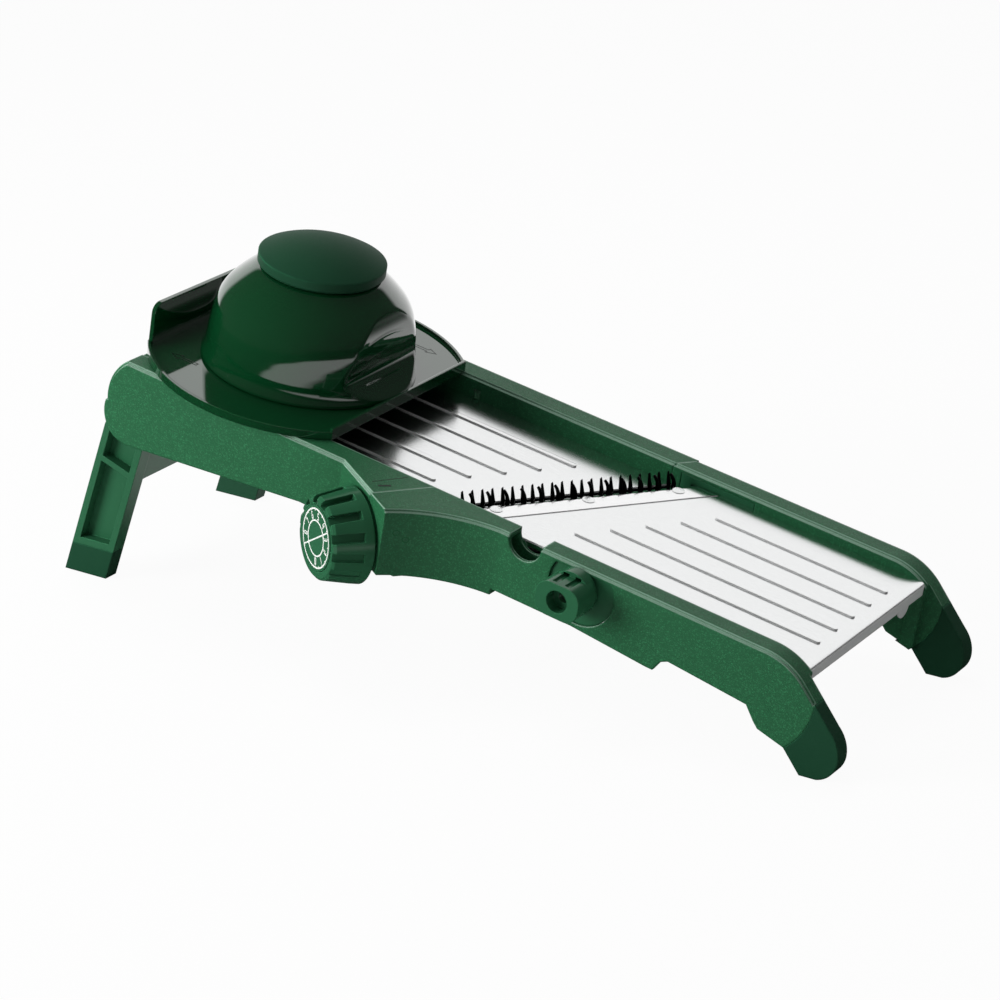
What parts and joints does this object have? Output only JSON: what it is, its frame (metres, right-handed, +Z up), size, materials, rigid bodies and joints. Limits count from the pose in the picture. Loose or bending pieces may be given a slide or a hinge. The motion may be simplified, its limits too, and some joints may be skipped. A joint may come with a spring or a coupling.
{
  "type": "mandoline slicer",
  "caption": "Sloping kitchen slicer on a folding stand, with ribbed steel runways, a diagonal blade, raised julienne cutters, a thickness dial, a cutter knob and a sliding domed food holder.",
  "frame": {"origin": "middle of the footprint's bounding box, on the table", "axes": "+X down the slope to the front end, +Y to the side away from the dial, +Z up"},
  "size_m": [0.4277, 0.1818, 0.1716],
  "materials": {
    "green_abs": "moulded ABS, fine spark texture",
    "gloss_green_abs": "polished moulded ABS",
    "soft_green_rubber": "soft-touch rubber",
    "brushed_steel": "brushed stainless sheet",
    "ground_steel": "ground and polished blade steel",
    "black_nylon": "black moulded nylon",
    "bright_steel": "bright steel",
    "printed_disc": "printed disc"
  },
  "bodies": {
    "frame": {"near_upper_rail": "green_abs", "far_upper_rail": "green_abs", "near_lower_rail": "green_abs", "far_lower_rail": "green_abs", "near_front_foot": "soft_green_rubber", "far_front_foot": "soft_green_rubber", "rear_handle": "green_abs", "rear_tie_bar": "black_nylon", "front_tie_bar": "black_nylon", "tie_screws": "bright_steel", "far_insert": "green_abs", "knob_plate": "gloss_green_abs", "lower_runway": "brushed_steel", "blade_bar": "black_nylon", "slicing_blade": "ground_steel", "blade_rivets": "bright_steel", "carriage_guides": "bright_steel", "dial_bush": "black_nylon", "stand_pins": "bright_steel"},
    "deck": {"deck_plate": "brushed_steel", "deck_carrier": "black_nylon", "deck_guide_pins": "bright_steel"},
    "dial": {"thickness_dial": "gloss_green_abs", "dial_disc": "printed_disc", "dial_shaft": "bright_steel", "lift_cams": "black_nylon"},
    "cutters": {"cutter_carriage": "black_nylon", "julienne_comb": "ground_steel", "fry_comb": "ground_steel"},
    "knob": {"crank_shaft": "bright_steel", "cutter_knob": "gloss_green_abs"},
    "stand": {"stand_frame": "gloss_green_abs", "near_stand_foot": "soft_green_rubber", "far_stand_foot": "soft_green_rubber"},
    "holder": {"holder_plate": "gloss_green_abs", "holder_dome": "gloss_green_abs", "dome_screws": "bright_steel"},
    "plunger": {"plunger_stem": "gloss_green_abs", "plunger_cap": "soft_green_rubber", "pusher_disc": "gloss_green_abs", "food_pins": "bright_steel"}
  },
  "joints": [
    {"name": "dial_turn", "type": "hinge", "parent": "frame", "child": "dial", "pos_m": [-0.0266, -0.06454, 0.06589], "axis": [-0.4919, -0.866, 0.0897], "range_deg": [-104.67, 165.43]},
    {"name": "deck_lift", "type": "slide", "parent": "frame", "child": "deck", "axis": [0.1795, 0, 0.9838], "range_m": [-0.0031, 0.0049]},
    {"name": "knob_turn", "type": "hinge", "parent": "frame", "child": "knob", "pos_m": [0.08265, 0.0137, 0.06019], "axis": [0, -1, 0], "range_deg": [0, 50.03]},
    {"name": "cutter_lift", "type": "slide", "parent": "frame", "child": "cutters", "axis": [0.1795, 0, 0.9838], "range_m": [-0.0102, 0]},
    {"name": "stand_fold", "type": "hinge", "parent": "frame", "child": "stand", "pos_m": [-0.16905, 0.0137, 0.08801], "axis": [0, -1, 0], "range_deg": [0, 106]},
    {"name": "holder_slide", "type": "slide", "parent": "frame", "child": "holder", "axis": [0.9838, 0, -0.1795], "range_m": [0, 0.215]},
    {"name": "plunger_lift", "type": "slide", "parent": "holder", "child": "plunger", "axis": [0.1795, 0, 0.9838], "range_m": [0, 0.024]}
  ],
  "couplings": [
    {"joint": "dial_turn", "follows": "deck_lift", "rad_per_m": 589.05},
    {"joint": "knob_turn", "follows": "cutter_lift", "rad_per_m": -85.555}
  ]
}
